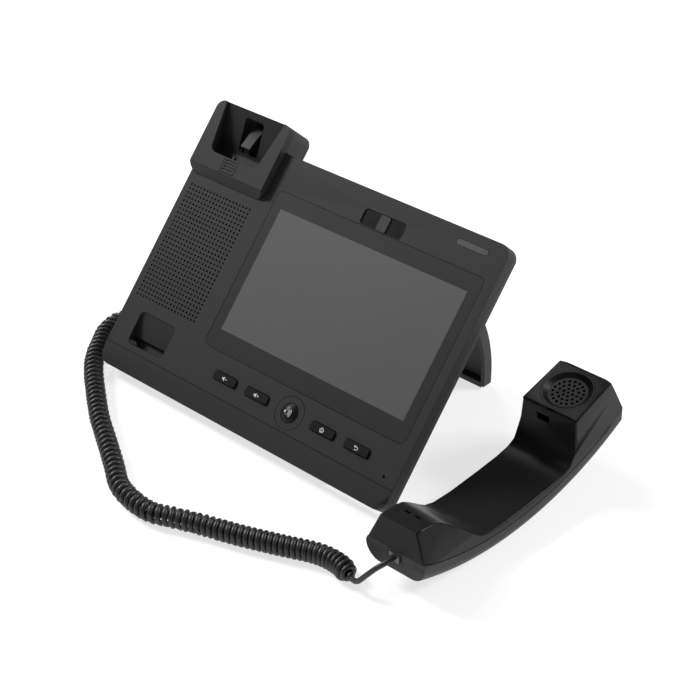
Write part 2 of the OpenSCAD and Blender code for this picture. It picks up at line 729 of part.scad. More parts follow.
rib_count = 4;
module stand() color(graphite) difference() {
  union() {
    across(stand_w) arc_band(stand_r - stand_t, stand_r);
    // Side flanges
    for (sx = [-1, 1]) translate([sx * (stand_w / 2 - stand_t / 2), 0, 0])
      across(stand_t) arc_band(stand_r - flange_d, stand_r);
    // Ribs across the hollow side
    for (k = [1 : rib_count]) translate([(k / (rib_count + 1) - 0.5) * (stand_w - 2 * stand_t), 0, 0])
      across(1.6) arc_band(stand_r - flange_d + 3, stand_r - 1);
    // Lip along the foot
    intersection() {
      across(stand_w) arc_band(stand_r - flange_d, stand_r - 1);
      translate([-stand_w, 0, 0]) cube([2 * stand_w, 2 * stand_reach, pad_t + stand_t]);
    }
    // Hinge barrels with their arms
    for (sx = [-1, 1]) translate([sx * hinge_x, 0, 0]) across(lug_gap - 2 * move_gap) union() {
      translate([hinge_dy, hinge_dz]) circle(barrel_r - 0.3);
      intersection() {
        translate([arc_y, arc_z]) difference() {
          circle(stand_r - 0.6, $fn = 180);
          circle(stand_r - stand_t + 0.4, $fn = 180);
        }
        translate([hinge_dy, hinge_dz]) circle(14);
        translate([hinge_dy, hinge_dz - 14]) square([14, 14]);
      }
    }
  }
  // Hinge bores
  translate([-stand_w, hinge_dy, hinge_dz]) rotate([0, 90, 0])
    cylinder(h = 2 * stand_w, r = hinge_pin_r + shaft_gap);
}

module stand_hinge_pins() color(steel) for (sx = [-1, 1])
  translate([sx * hinge_x, hinge_dy, hinge_dz]) rotate([0, 90, 0])
    cylinder(h = lug_gap + 2 * lug_t, r = hinge_pin_r, center = true);

pad_l = 30;
module stand_pads() color(black) for (sx = [-1, 1])
  translate([sx * (stand_w / 2 - pad_l / 2 - 3), stand_reach - 2.5, 0])
    block(pad_l, flange_d - 2, 0, pad_t);

// ---- Handset, lying on its curved back ----
seam_r = back_r - back_shell_t;
handset_x = body_w / 2 + handset_clear;
mouth_end = -83;
ear_end = 108;
ear_front = 57;

function arc_low(y) = back_r - sqrt(back_r * back_r - y * y);

// Side view (Y, Z) of the handset above a straight lower line; the back's curve cuts it
module handset_side() {
  polygon([
    [mouth_end + 0.8, -1], [mouth_end + 0.8, 14], [mouth_end, 27], [mouth_end + 2.5, 47],
    [mouth_end + 9, 46.8], [mouth_end + 16, 46], [mouth_end + 23, 43.4], [mouth_end + 30, 38.4],
    [mouth_end + 37, 32.5], [mouth_end + 44, 26.5], [mouth_end + 51, 22], [mouth_end + 59, 19.6],
    [-8, 18.8], [18, 19.8], [36, 21], [46, 22.6], [52, 25.4], [ear_front - 1.5, 31],
    [ear_front, 40], [ear_front, 53], [ear_front + 1, 54.2], [92, 63.4], [94.5, 63],
    [ear_end, 40], [ear_end - 1.5, 33], [ear_end - 3, 25], [ear_end - 3.5, -1]
  ]);
}

// The curved back as a body of revolution about an axis across the handset
back_round = 10;
module back_sweep(r_out, half_w, round_r) {
  translate([0, 0, back_r]) rotate([0, 90, 0]) rotate_extrude($fn = 180) {
    translate([0, -half_w]) square([r_out - round_r, 2 * half_w]);
    translate([0, -half_w + round_r]) square([r_out, 2 * half_w - 2 * round_r]);
    for (s = [-1, 1]) translate([r_out - round_r, s * (half_w - round_r)]) circle(round_r);
  }
}

// Wedges that narrow the mouthpiece and the earpiece towards their tops, moved in by g
module narrowing(g) {
  for (sx = [-1, 1]) scale_side(sx) {
    translate([0, -100, 0]) cube_taper(handset_w / 2 - g, 27, mouth_top_w / 2 - g, 47, 120);
    translate([0, ear_front - 12, 0]) cube_taper(handset_w / 2 - g, 30, ear_top_w / 2 - g, 60, 90);
  }
}
module scale_side(sx) { if (sx > 0) children(); else mirror([1, 0, 0]) children(); }
// The space outside a side wall that slopes in from (x0, z0) to (x1, z1), len long
module cube_taper(x0, z0, x1, z1, len) {
  slope = (x1 - x0) / (z1 - z0);
  translate([0, len, 0]) rotate([90, 0, 0]) linear_extrude(len) polygon([
    [x0, z0], [x0 + slope * 60, z0 + 60], [x0 + 60, z0 + 60], [x0 + 60, z0]
  ]);
}

// Level slice of the ear end at height z: it bows out, and turns in at the corners
ear_bow = 2.2;
ear_corner = 3.5;
module ear_slice(z, y_end) {
  half_w = handset_w / 2 + 1;
  translate([0, 0, z]) linear_extrude(0.5) polygon([
    [-half_w, -100], [half_w, -100],
    for (k = [8 : -1 : -8]) [half_w * k / 8, y_end - ear_bow * pow(k / 8, 2) - ear_corner * pow(k / 8, 8)]
  ]);
}
module ear_hull(g) hull() {
  ear_slice(-2, ear_end + 0.6 - g);
  ear_slice(40, ear_end + 0.6 - g);
  ear_slice(66, ear_end - 14.7 - g);
}

module handset_solid(g) difference() {
  intersection() {
    across(handset_w - 2 * g) offset(delta = -g) handset_side();
    ear_hull(g);
    back_sweep(back_r - g, handset_w / 2 - g, max(back_round - g, 1));
  }
  narrowing(g);
}

module handset_skin() difference() {
  handset_solid(0);
  handset_solid(handset_wall);
}

module at_handset() translate([handset_x, handset_y, 0]) children();

// Frame of the earpiece's sloping top face: X across, Y towards the ear end, Z out
ear_tilt = atan2(63.4 - 54.2, 92 - ear_front - 1);
module at_ear() translate([0, (ear_front + 93) / 2, (54.2 + 63.4) / 2]) rotate([ear_tilt, 0, 0]) children();

module handset_split(upper) intersection() {
  difference() {
    handset_skin();
    // Screw holes
    for (s = handset_screw_spots) translate([0, s, -1]) cylinder(h = arc_low(s) + 5, r = 3);
    // Handset socket
    translate([-port_w / 2 - seat_gap, mouth_end - 2, socket_z - port_h / 2 - seat_gap])
      cube([port_w + 2 * seat_gap, 8, port_h + 2 * seat_gap]);
    // Ear dish
    at_ear() translate([0, 0, -6]) cylinder(h = 12, r = ear_dish_r + seat_gap);
    // Mouthpiece sound slots
    for (sx = [-1, 1]) translate([sx * 3.8, mouth_end + 15, 44]) cube([4, 1.6, 10], center = true);
    // Slot that the hook clip's tongue enters
    translate([-4, ear_front, 46]) cube([9, 8, 4.4], center = true);
  }
  translate([0, 0, back_r]) rotate([0, 90, 0]) {
    if (upper) cylinder(h = 100, r = seam_r, center = true, $fn = 180);
    else difference() {
      cylinder(h = 100, r = back_r + 20, center = true, $fn = 180);
      translate([0, 0, -60]) cylinder(h = 120, r = seam_r, $fn = 180);
    }
  }
}

module handset_front_shell() color(charcoal) at_handset() handset_split(true);
module handset_back_shell() color(graphite) at_handset() handset_split(false);

handset_screw_spots = [-60, 60];
module handset_screws() color(steel) at_handset() for (s = handset_screw_spots)
  translate([0, s, arc_low(s) + 1]) {
    cylinder(h = 2, r = 2.8);
    cylinder(h = 10, r = 1.4);
  }

// Dished round insert with rings of sound holes
ear_rings = [[0, 1], [3.2, 6], [6.4, 12], [9.6, 18]];
ear_hole_d = 1.9;
module ear_grille() color(black) at_handset() at_ear() difference() {
  rotate_extrude() polygon([
    [0, -3.6], [ear_dish_r, -3.6], [ear_dish_r, 0], [ear_dish_r - 1.2, 0],
    [ear_dish_r - 4.2, -2.2], [0, -2.2]
  ]);
  for (r = ear_rings, k = [0 : r[1] - 1]) rotate([0, 0, k * 360 / r[1]])
    translate([r[0], 0, -5]) cylinder(h = 5, r = ear_hole_d / 2, $fn = 16);
}

module ear_speaker() color([0.16, 0.16, 0.17]) at_handset() at_ear()
  translate([0, 0, -9.5]) cylinder(h = 5.6, r = 13.5);

module mouth_microphone() color(steel) at_handset()
  translate([0, mouth_end + 15, 36]) cylinder(h = 5, r = 4);

module handset_weight() color([0.45, 0.45, 0.46]) at_handset() translate([0, 6, 5])
  block(22, 50, 0, 6);

socket_z = 25;
module handset_socket() color(graphite) at_handset() translate([0, mouth_end + 0.4, socket_z])
  rotate([90, 0, 0]) handset_socket_shape();
module handset_plug() color([0.5, 0.5, 0.5]) at_handset() translate([0, mouth_end + 0.4, socket_z])
  rotate([90, 0, 0]) plug_shape(handset_plug_out);

// ---- Cord ----
// A tube along a list of points: rings of n points, each square to the route
function unit(v) = v / norm(v);
function dir_at(p, i) = unit(p[min(i + 1, len(p) - 1)] - p[max(i - 1, 0)]);
function side_of(d) = unit(cross(d, abs(d[2]) > 0.9 ? [0, 1, 0] : [0, 0, 1]));
function ring(c, d, r, n) = [
  for (k = [0 : n - 1]) let (a = 360 * k / n, s = side_of(d), t = cross(s, d))
    c + r * (s * cos(a) + t * sin(a))
];
module tube(p, r, n) {
  m = len(p);
  polyhedron(
    points = [for (i = [0 : m - 1]) each ring(p[i], dir_at(p, i), r, n)],
    faces = concat(
      [[for (k = [0 : n - 1]) k]],
      [[for (k = [n - 1 : -1 : 0]) (m - 1) * n + k]],
      [for (i = [0 : m - 2], k = [0 : n - 1])
        [i * n + k, (i + 1) * n + k, (i + 1) * n + (k + 1) % n, i * n + (k + 1) % n]]
    ),
    convexity = 10
  );
}
// A smooth curve through a list of points, with steps points for each stretch
function curve(p, steps) = concat(
  [for (i = [0 : len(p) - 2], j = [0 : steps - 1])
    let (t = j / steps, a = p[max(i - 1, 0)], b = p[i], c = p[i + 1], d = p[min(i + 2, len(p) - 1)])
      0.5 * (2 * b + t * (c - a) + t * t * (2 * a - 5 * b + 4 * c - d) + t * t * t * (3 * b - a - 3 * c + d))],
  [p[len(p) - 1]]
);

coil_z = coil_d / 2 + 0.1;
// Route of the coiled length on the desk, from behind the body to the handset
coil_route = [
  [-146, 44], [-154, 34], [-155, 25], [-151, 13], [-142, 0], [-134, -11], [-121, -24],
  [-98, -42], [-76, -58], [-55, -71], [-31, -86], [-14, -97], [2, -102], [20, -103],
  [36, -97], [52, -91], [76, -83], [99, -74], [121, -65], [137, -64], [151, -69]
];
// Route of the plain wire from the base's plug to the coil
base_route = [
  [-73.4, 31.8, 37], [-82, 31.8, 36.8], [-96, 34, 32], [-108, 40, 23], [-118, 48, 13],
  [-127, 54, 7.5], [-136, 54, 6.6], [-142, 49, 6.6], [-145.8, 44.3, 6.6]
];
// Route of the plain wire from the coil to the handset's plug
handset_route = [
  [152.4, -69.5, 6.6], [156.5, -69.8, 9], [161, -68.5, 14.6], [166, -65.6, 20.8],
  [169.8, -60.8, 24.3], [170.4, -55.5, 25]
];

module cord_coil() color(black) tube(curve([for (q = coil_route) [q[0], q[1], coil_z]], 3), coil_d / 2, 10);
module base_tail() color(black) tube(curve(base_route, 3), wire_d / 2, 8);
module handset_tail() color(black) tube(curve(handset_route, 4), wire_d / 2, 8);

front_shell();
rear_cover();
rear_screws();
front_foot();
touch_panel();
panel_tape();
display_module();
display_bracket();
main_board();
lan_socket();
pc_socket();
power_socket();
handset_port();
loudspeaker();
speaker_gasket();
base_microphone();
cradle_cup();
hook_clip();
hook_lever();
hook_lever_pin();
hook_switch();
volume_down_key();
volume_up_key();
speaker_key();
home_key();
back_key();
speaker_key_ring();
key_mat();
key_board();
camera_window();
camera_module();
camera_shutter();
status_light();
stand();
stand_hinge_pins();
stand_pads();
handset_front_shell();
handset_back_shell();
ear_grille();
ear_speaker();
mouth_microphone();
handset_weight();
handset_socket();
handset_screws();
base_plug();
handset_plug();
base_tail();
handset_tail();
cord_coil();
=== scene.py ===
import json
import math

import bmesh
import bpy
from mathutils import Matrix, Vector

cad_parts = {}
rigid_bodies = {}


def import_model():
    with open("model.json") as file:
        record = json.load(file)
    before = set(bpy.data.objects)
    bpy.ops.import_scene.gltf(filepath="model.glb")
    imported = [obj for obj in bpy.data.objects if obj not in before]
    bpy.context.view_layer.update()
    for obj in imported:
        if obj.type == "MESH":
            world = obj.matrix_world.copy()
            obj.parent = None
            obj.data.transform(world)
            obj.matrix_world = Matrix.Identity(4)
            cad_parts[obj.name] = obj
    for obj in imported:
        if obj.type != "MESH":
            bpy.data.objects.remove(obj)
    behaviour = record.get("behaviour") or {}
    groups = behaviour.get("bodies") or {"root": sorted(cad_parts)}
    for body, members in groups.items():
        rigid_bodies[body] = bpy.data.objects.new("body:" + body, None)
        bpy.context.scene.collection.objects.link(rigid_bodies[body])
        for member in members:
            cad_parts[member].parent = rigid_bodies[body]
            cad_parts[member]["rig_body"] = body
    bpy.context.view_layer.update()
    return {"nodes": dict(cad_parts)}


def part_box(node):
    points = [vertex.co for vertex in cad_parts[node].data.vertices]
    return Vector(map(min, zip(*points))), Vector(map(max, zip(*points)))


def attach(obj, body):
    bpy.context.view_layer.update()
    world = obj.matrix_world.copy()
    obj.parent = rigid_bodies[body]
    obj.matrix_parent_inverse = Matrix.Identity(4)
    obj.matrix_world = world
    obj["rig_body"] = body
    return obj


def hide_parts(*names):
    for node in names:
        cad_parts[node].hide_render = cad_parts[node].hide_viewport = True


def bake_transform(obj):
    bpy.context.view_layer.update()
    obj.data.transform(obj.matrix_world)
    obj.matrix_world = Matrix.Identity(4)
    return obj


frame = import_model()
nodes = frame["nodes"]

MM = 0.001

# ---------------------------------------------------------------- camera
# The axis of view, as a direction round the phone and a height above the desk.
VIEW_AZIMUTH = math.radians(42.2)
VIEW_ELEVATION = math.radians(32.5)
VIEW_DISTANCE = 1.1416
AIM = Vector((0.0476, 0.0433, 0.0630))
LENS_MM = 95.0
SENSOR_MM = 36.0
FAR_CLIP = 20.0

towards_camera = Vector((
    math.sin(VIEW_AZIMUTH) * math.cos(VIEW_ELEVATION),
    -math.cos(VIEW_AZIMUTH) * math.cos(VIEW_ELEVATION),
    math.sin(VIEW_ELEVATION),
))
camera_data = bpy.data.cameras.new("camera")
camera_data.lens = LENS_MM
camera_data.sensor_width = SENSOR_MM
camera_data.clip_end = FAR_CLIP
camera = bpy.data.objects.new("camera", camera_data)
camera.location = AIM + towards_camera * VIEW_DISTANCE
camera.rotation_euler = (-towards_camera).to_track_quat("-Z", "Y").to_euler()
bpy.context.scene.collection.objects.link(camera)
bpy.context.scene.camera = camera


# ---------------------------------------------------------------- shader maths
class Value:
    """A number that changes over a surface. Arithmetic on it adds Math nodes."""

    def __init__(self, finish, socket):
        self.finish = finish
        self.socket = socket

    def _math(self, operation, *values):
        return self.finish.node("ShaderNodeMath", {"operation": operation}, list(values))

    def __add__(self, other):
        return self._math("ADD", self, other)

    def __radd__(self, other):
        return self._math("ADD", other, self)

    def __sub__(self, other):
        return self._math("SUBTRACT", self, other)

    def __rsub__(self, other):
        return self._math("SUBTRACT", other, self)

    def __mul__(self, other):
        return self._math("MULTIPLY", self, other)

    def __rmul__(self, other):
        return self._math("MULTIPLY", other, self)

    def __abs__(self):
        return self._math("ABSOLUTE", self)

    def above(self, edge):
        return self._math("GREATER_THAN", self, edge)

    def below(self, edge):
        return self._math("LESS_THAN", self, edge)

    def smaller(self, other):
        return self._math("MINIMUM", self, other)

    def larger(self, other):
        return self._math("MAXIMUM", self, other)

    def root(self):
        return self._math("SQRT", self)

    def sine(self):
        return self._math("SINE", self)

    def between(self, low, high, start=0.0, end=1.0):
        """start where this is low, end where it is high, and smooth in between."""
        settings = {"interpolation_type": "SMOOTHSTEP"}
        return self.finish.node("ShaderNodeMapRange", settings, [self, low, high, start, end])


class Finish:
    """One procedural material on a Principled shader."""

    def __init__(self, name):
        self.material = bpy.data.materials.new(name)
        self.material.use_nodes = True
        self.tree = self.material.node_tree
        self.tree.nodes.clear()
        self.output = self.tree.nodes.new("ShaderNodeOutputMaterial")
        self.shader = self.tree.nodes.new("ShaderNodeBsdfPrincipled")
        self.tree.links.new(self.shader.outputs["BSDF"], self.output.inputs["Surface"])

    def node(self, kind, settings, inputs, output=0):
        """Adds a node, sets it, fills its sockets and gives its output."""
        made = self.tree.nodes.new(kind)
        for key, value in settings.items():
            setattr(made, key, value)
        pairs = inputs.items() if isinstance(inputs, dict) else enumerate(inputs)
        for key, value in pairs:
            if isinstance(value, Value):
                self.tree.links.new(value.socket, made.inputs[key])
            elif value is not None:
                made.inputs[key].default_value = value
        return Value(self, made.outputs[output])

    def place(self):
        """Object coordinates."""
        return self.node("ShaderNodeTexCoord", {}, [], "Object")

    def turned(self, location, rotation, scale=(1, 1, 1)):
        """Object coordinates seen from a frame at location, turned by rotation."""
        return self.node("ShaderNodeMapping", {"vector_type": "TEXTURE"},
                         [self.place(), location, rotation, scale])

    def parts(self, vector):
        """The x, y and z of a vector."""
        made = self.tree.nodes.new("ShaderNodeSeparateXYZ")
        self.tree.links.new(vector.socket, made.inputs[0])
        return [Value(self, made.outputs[i]) for i in range(3)]

    def noise(self, scale, detail=2.0, rough=0.5, vector=None, distortion=0.0):
        inputs = {"Vector": vector or self.place(), "Scale": scale, "Detail": detail,
                  "Roughness": rough, "Distortion": distortion}
        return self.node("ShaderNodeTexNoise", {}, inputs, "Fac")

    def cells(self, scale):
        """The distance to the nearest of many scattered points."""
        inputs = {"Vector": self.place(), "Scale": scale}
        return self.node("ShaderNodeTexVoronoi", {"feature": "F1"}, inputs, "Distance")

    def colour_mix(self, amount, first, second):
        """From the first colour to the second. A Mix node has its colours in sockets 6 and 7."""
        return self.node("ShaderNodeMix", {"data_type": "RGBA"}, {0: amount, 6: first, 7: second}, 2)

    def bump(self, height, depth):
        inputs = {"Height": height, "Distance": depth, "Strength": 1.0}
        return self.node("ShaderNodeBump", {}, inputs, "Normal")

    def set(self, **sockets):
        """Fills the shader's sockets and gives the finished material."""
        for name, value in sockets.items():
            socket = self.shader.inputs[name.replace("_", " ")]
            if isinstance(value, Value):
                self.tree.links.new(value.socket, socket)
            else:
                socket.default_value = value
        return self.material


def grey(level, warmth=0.0):
    """A neutral linear colour, a little warmer or cooler."""
    return (level * (1 + warmth), level, level * (1 - warmth), 1.0)


# ---------------------------------------------------------------- finishes
SHEEN = 0.16
GRAIN = 0.35 * MM
GRAIN_DEPTH = 0.018 * MM
COOL = -0.006
SHADOW = grey(0.003)


def spark_grain(f, level, rough, grain, depth):
    """Colour, roughness and normal of plastic from a spark-eroded mould: an even grain, faintly cloudy."""
    fine = f.noise(1 / grain, 2.0, 0.6)
    pits = f.cells(0.7 / grain)
    cloud = f.noise(38.0, 3.0, 0.55)
    rub = f.noise(9.0, 2.0, 0.5)
    tone = (cloud - 0.5) * 0.10 + (fine - 0.5) * 0.16 + 1.0
    colour = f.colour_mix(tone - 0.5, grey(level * 0.5, COOL), grey(level * 1.5, COOL))
    roughness = rough + (rub - 0.5) * 0.10 + (fine - 0.5) * 0.12
    return colour, roughness, f.bump(fine * 0.6 + pits * 0.4, depth)


def moulded_plastic(name, level, rough, grain=GRAIN, depth=GRAIN_DEPTH):
    """Plain grained plastic."""
    f = Finish(name)
    colour, roughness, normal = spark_grain(f, level, rough, grain, depth)
    return f.set(Base_Color=colour, Roughness=roughness, Normal=normal, Specular_IOR_Level=SHEEN)


def smooth_plastic(name, level, rough, coat=0.0):
    """Plain glossy moulding with faint flow marks and handling haze."""
    f = Finish(name)
    flow = f.noise(24.0, 3.0, 0.6, distortion=0.6)
    haze = f.noise(90.0, 3.0, 0.6)
    base = f.colour_mix(flow, grey(level * 0.88), grey(level * 1.12))
    roughness = rough + (haze - 0.5) * 0.14
    return f.set(Base_Color=base, Roughness=roughness, Normal=f.bump(flow, 0.010 * MM),
                 Coat_Weight=coat, Coat_Roughness=0.08)


def soft_rubber(name, level):
    """Matte moulded rubber with a pebbled skin."""
    f = Finish(name)
    pebble = f.cells(1600.0)
    dust = f.noise(130.0, 4.0, 0.65)
    base = f.colour_mix(dust.between(0.45, 0.75), grey(level), grey(level * 1.7))
    return f.set(Base_Color=base, Roughness=0.78 + dust * 0.12, Normal=f.bump(pebble, 0.04 * MM))


def cord_jacket(name, level):
    """The cord's soft sheath: satin, with faint rubbed patches and drawing lines."""
    f = Finish(name)
    rub = f.noise(60.0, 3.0, 0.6)
    skin = f.noise(2200.0, 2.0, 0.5)
    base = f.colour_mix(rub, grey(level * 0.8), grey(level * 1.25))
    return f.set(Base_Color=base, Roughness=0.36 + rub * 0.12, Normal=f.bump(skin, 0.012 * MM))


def plated_steel(name, level):
    """Zinc-plated steel, brushed along X."""
    f = Finish(name)
    streak = f.noise(900.0, 2.0, 0.6, vector=f.turned((0, 0, 0), (0, 0, 0), (12, 1, 1)))
    spangle = f.cells(420.0)
    base = f.colour_mix(spangle, grey(level * 0.86, 0.01), grey(level * 1.1, 0.01))
    return f.set(Base_Color=base, Metallic=1.0, Roughness=0.32 + (streak - 0.5) * 0.22,
                 Normal=f.bump(streak, 0.012 * MM))


def circuit_board(name):
    """Green solder mask over straight copper tracks with tinned pads."""
    f = Finish(name)
    x, _, _ = f.parts(f.place())
    track = (x * 2400.0).sine().above(0.55)
    ways = f.cells(160.0).below(0.32)
    pads = f.cells(420.0).below(0.12)
    mask = f.colour_mix(track * ways, (0.006, 0.052, 0.024, 1), (0.014, 0.095, 0.045, 1))
    base = f.colour_mix(pads, mask, (0.55, 0.55, 0.5, 1))
    return f.set(Base_Color=base, Roughness=0.3 + pads * 0.1, Metallic=pads * 0.8,
                 Normal=f.bump(track * ways, 0.03 * MM))


def smoky_moulding(name):
    """Smoky, glossy plastic of the cord's plugs."""
    f = Finish(name)
    haze = f.noise(300.0, 3.0, 0.6)
    base = f.colour_mix(haze, (0.02, 0.02, 0.021, 1), (0.06, 0.06, 0.062, 1))
    return f.set(Base_Color=base, Roughness=0.12 + haze * 0.12, Coat_Weight=0.6, Coat_Roughness=0.05,
                 Normal=f.bump(haze, 0.02 * MM))


# ---------------------------------------------------------------- the leaning face
# The face frame: X to the right, Y up the face, Z out of it, from the middle of the face.
LEAN = 41.5
PANEL_X = 34 * MM
PANEL_Y = 9.1 * MM
PANEL_T = 1.6 * MM
PANEL_W = 169.4 * MM
PANEL_H = 110 * MM
PANEL_CORNER = 4 * MM
PANEL_GAP = 0.1 * MM
SCREEN_W = 154.2 * MM
SCREEN_H = 85.9 * MM
SCREEN_RISE = 1.0 * MM
CHIN_Y = -72.9 * MM
CRADLE_CREASE_Y = 58.2 * MM
CRADLE_FOOT_Y = 58.5 * MM
KEY_X = 34.4 * MM
KEY_Y = -60.2 * MM
KEY_PITCH = 28.1 * MM
RING_R = 10.8 * MM
panel_low, panel_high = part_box("touch_panel")
face_tilt = math.radians(90 - LEAN)
lean_turn = Matrix.Rotation(face_tilt, 4, "X")
panel_middle = (panel_low + panel_high) / 2
face_origin = panel_middle - lean_turn @ Vector((PANEL_X, PANEL_Y, -PANEL_T / 2))
face = Matrix.Translation(face_origin) @ lean_turn


def on_the_face(f, x=0.0, y=0.0):
    """Coordinates in the face frame, counted from a point on the face."""
    return f.parts(f.turned(tuple(face @ Vector((x, y, 0))), (face_tilt, 0, 0)))


def line_at(distance, core, edge):
    """1 within the core of a thin line, fading to 0 at its edge."""
    return distance.between(core, edge, 1.0, 0.0)


def screen_face(name):
    """The touch panel: a black printed border round the grey, unlit picture area."""
    row_pitch = 0.42 * MM
    f = Finish(name)
    x, y, z = on_the_face(f, PANEL_X, PANEL_Y + SCREEN_RISE)
    inside = (SCREEN_W / 2 - abs(x)).smaller(SCREEN_H / 2 - abs(y))
    picture_area = inside.between(-0.25 * MM, 0.25 * MM)
    front = z.above(-0.9 * MM)
    rows = (y * (2 * math.pi / row_pitch)).sine() * 0.5 + 0.5
    sweep = f.noise(5.0, 1.0, 0.4)
    picture = f.colour_mix(rows * 0.25 + sweep * 0.75, grey(0.092), grey(0.108))
    cloud = f.noise(40.0, 3.0, 0.5)
    border = f.colour_mix(cloud, grey(0.022), grey(0.027))
    base = f.colour_mix(picture_area * front, border, picture)
    smear = f.noise(16.0, 4.0, 0.6, distortion=0.4)
    return f.set(Base_Color=base, Roughness=0.36 + smear * 0.12, Specular_IOR_Level=SHEEN,
                 Normal=f.bump(f.noise(1500.0, 2.0, 0.5), 0.006 * MM))


def cradle_plastic_with_painted_shade(name, level, rough):
    """The cradle's plastic, with painted shade along the crease of its lower slope and where it meets the
    shell.
    """
    f = Finish(name)
    fine = f.noise(2800.0, 2.0, 0.6)
    cloud = f.noise(45.0, 3.0, 0.55)
    _, y, z = on_the_face(f)
    # Painted shade: a dark line along the crease of the lower slope, and a dark band at the foot where the
    # cradle meets the shell.
    crease = line_at(abs(y - CRADLE_CREASE_Y), 0.1 * MM, 0.6 * MM) * z.above(4.8 * MM)
    foot = line_at(z, 0.3 * MM, 0.9 * MM) * y.below(CRADLE_FOOT_Y)
    plain = f.colour_mix(cloud, grey(level * 0.93), grey(level * 1.07))
    base = f.colour_mix(crease.larger(foot) * 0.75, plain, SHADOW)
    return f.set(Base_Color=base, Roughness=rough + (cloud - 0.5) * 0.1,
                 Normal=f.bump(fine, 0.014 * MM), Specular_IOR_Level=SHEEN)


def face_plastic(name, level, rough):
    """The front shell's grained plastic, with painted shadow lines along its joints and its chin crease.
    """
    f = Finish(name)
    plain, roughness, normal = spark_grain(f, level, rough, GRAIN, GRAIN_DEPTH)
    x, y, z = on_the_face(f)
    chin = line_at(abs(y - CHIN_Y), 0.2 * MM, 0.6 * MM)
    across = (abs(x - PANEL_X) - (PANEL_W / 2 - PANEL_CORNER)).larger(0.0)
    along = (abs(y - PANEL_Y) - (PANEL_H / 2 - PANEL_CORNER)).larger(0.0)
    past_corner = (across * across + along * along).root() - (PANEL_CORNER + PANEL_GAP)
    joint = line_at(abs(past_corner), 0.15 * MM, 0.5 * MM)
    key_x, key_y = x - KEY_X, y - KEY_Y
    past_ring = (key_x * key_x + key_y * key_y).root() - RING_R
    ring = line_at(abs(past_ring), 0.1 * MM, 0.45 * MM)
    # Painted shade: dark lines in the chin crease, in the gap round the touch panel and in the gap round
    # the speaker key's ring.
    lines = chin.larger(joint).larger(ring) * z.above(-1.2 * MM)
    base = f.colour_mix(lines * 0.82, plain, SHADOW)
    return f.set(Base_Color=base, Roughness=roughness, Normal=normal, Specular_IOR_Level=SHEEN)


charcoal = moulded_plastic("charcoal_plastic", 0.029, 0.5)
front_charcoal = face_plastic("front_charcoal", 0.029, 0.5)
cradle_charcoal = cradle_plastic_with_painted_shade("cradle_charcoal", 0.024, 0.46)
graphite = moulded_plastic("graphite_plastic", 0.045, 0.5)
handset_charcoal = moulded_plastic("handset_charcoal", 0.008, 0.34, depth=0.010 * MM)
# The handset's back shell is a lighter grey than its front: partly its own tone, partly a painted sheen
# along the seam.
handset_back_grey_and_sheen = moulded_plastic("handset_back_grey_and_sheen", 0.034, 0.42, depth=0.010 * MM)
black = smooth_plastic("black_plastic", 0.008, 0.42)
key_black = moulded_plastic("key_plastic", 0.010, 0.36, depth=0.008 * MM)
icon_white = smooth_plastic("icon_print", 0.62, 0.5)
glass = screen_face("screen_glass")
tint = smooth_plastic("window_tint", 0.006, 0.16, 0.5)
diffuser = smooth_plastic("light_diffuser", 0.058, 0.3, 0.2)
rubber = soft_rubber("rubber", 0.012)
steel = plated_steel("steel", 0.55)
board = circuit_board("circuit_board")
jacket = cord_jacket("cord_jacket", 0.014)
plug_smoke = smoky_moulding("plug_plastic")
cone = moulded_plastic("speaker_cone", 0.02, 0.8, grain=1.2 * MM, depth=0.06 * MM)

# Every CAD node, by its finish.
FINISHED_NODES = [
    (front_charcoal, ["front_shell"]),
    (cradle_charcoal, ["cradle_cup"]),
    (charcoal, ["hook_clip", "hook_lever", "speaker_key_ring"]),
    (graphite, ["rear_cover", "stand", "camera_shutter"]),
    (handset_charcoal, ["handset_front_shell", "ear_grille"]),
    (handset_back_grey_and_sheen, ["handset_back_shell"]),
    (glass, ["touch_panel"]),
    (tint, ["camera_window"]),
    (diffuser, ["status_light"]),
    (key_black, ["volume_down_key", "volume_up_key", "speaker_key", "home_key", "back_key"]),
    (rubber, ["front_foot", "stand_pads", "speaker_gasket", "key_mat"]),
    (steel, ["rear_screws", "handset_screws", "hook_lever_pin", "stand_hinge_pins", "display_bracket",
             "display_module", "base_microphone", "mouth_microphone", "handset_weight"]),
    (board, ["main_board", "key_board"]),
    (black, ["lan_socket", "pc_socket", "power_socket", "handset_port", "handset_socket", "panel_tape",
             "hook_switch", "camera_module"]),
    (cone, ["loudspeaker", "ear_speaker"]),
    (plug_smoke, ["base_plug", "handset_plug"]),
    (jacket, ["base_tail", "cord_coil", "handset_tail"]),
]
for finish, names in FINISHED_NODES:
    for name in names:
        nodes[name].data.materials.clear()
        nodes[name].data.materials.append(finish)


# ---------------------------------------------------------------- making pieces
def piece(name, mesh_bm, finish, body, smooth_angle=32.0):
    """Turns a bmesh in the desk's frame into a named piece, which rides on a body where it has one."""
    mesh = bpy.data.meshes.new(name)
    mesh_bm.to_mesh(mesh)
    mesh_bm.free()
    mesh.materials.append(finish)
    mesh.shade_smooth()
    mesh.set_sharp_from_angle(angle=math.radians(smooth_angle))
    made = bpy.data.objects.new(name, mesh)
    bpy.context.scene.collection.objects.link(made)
    if body:
        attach(made, body)
    return made


MERGE = 0.004 * MM
FLAT_ANGLE = math.radians(0.6)
HARD_ANGLE = math.radians(25)
SHARP_DEGREES = 50


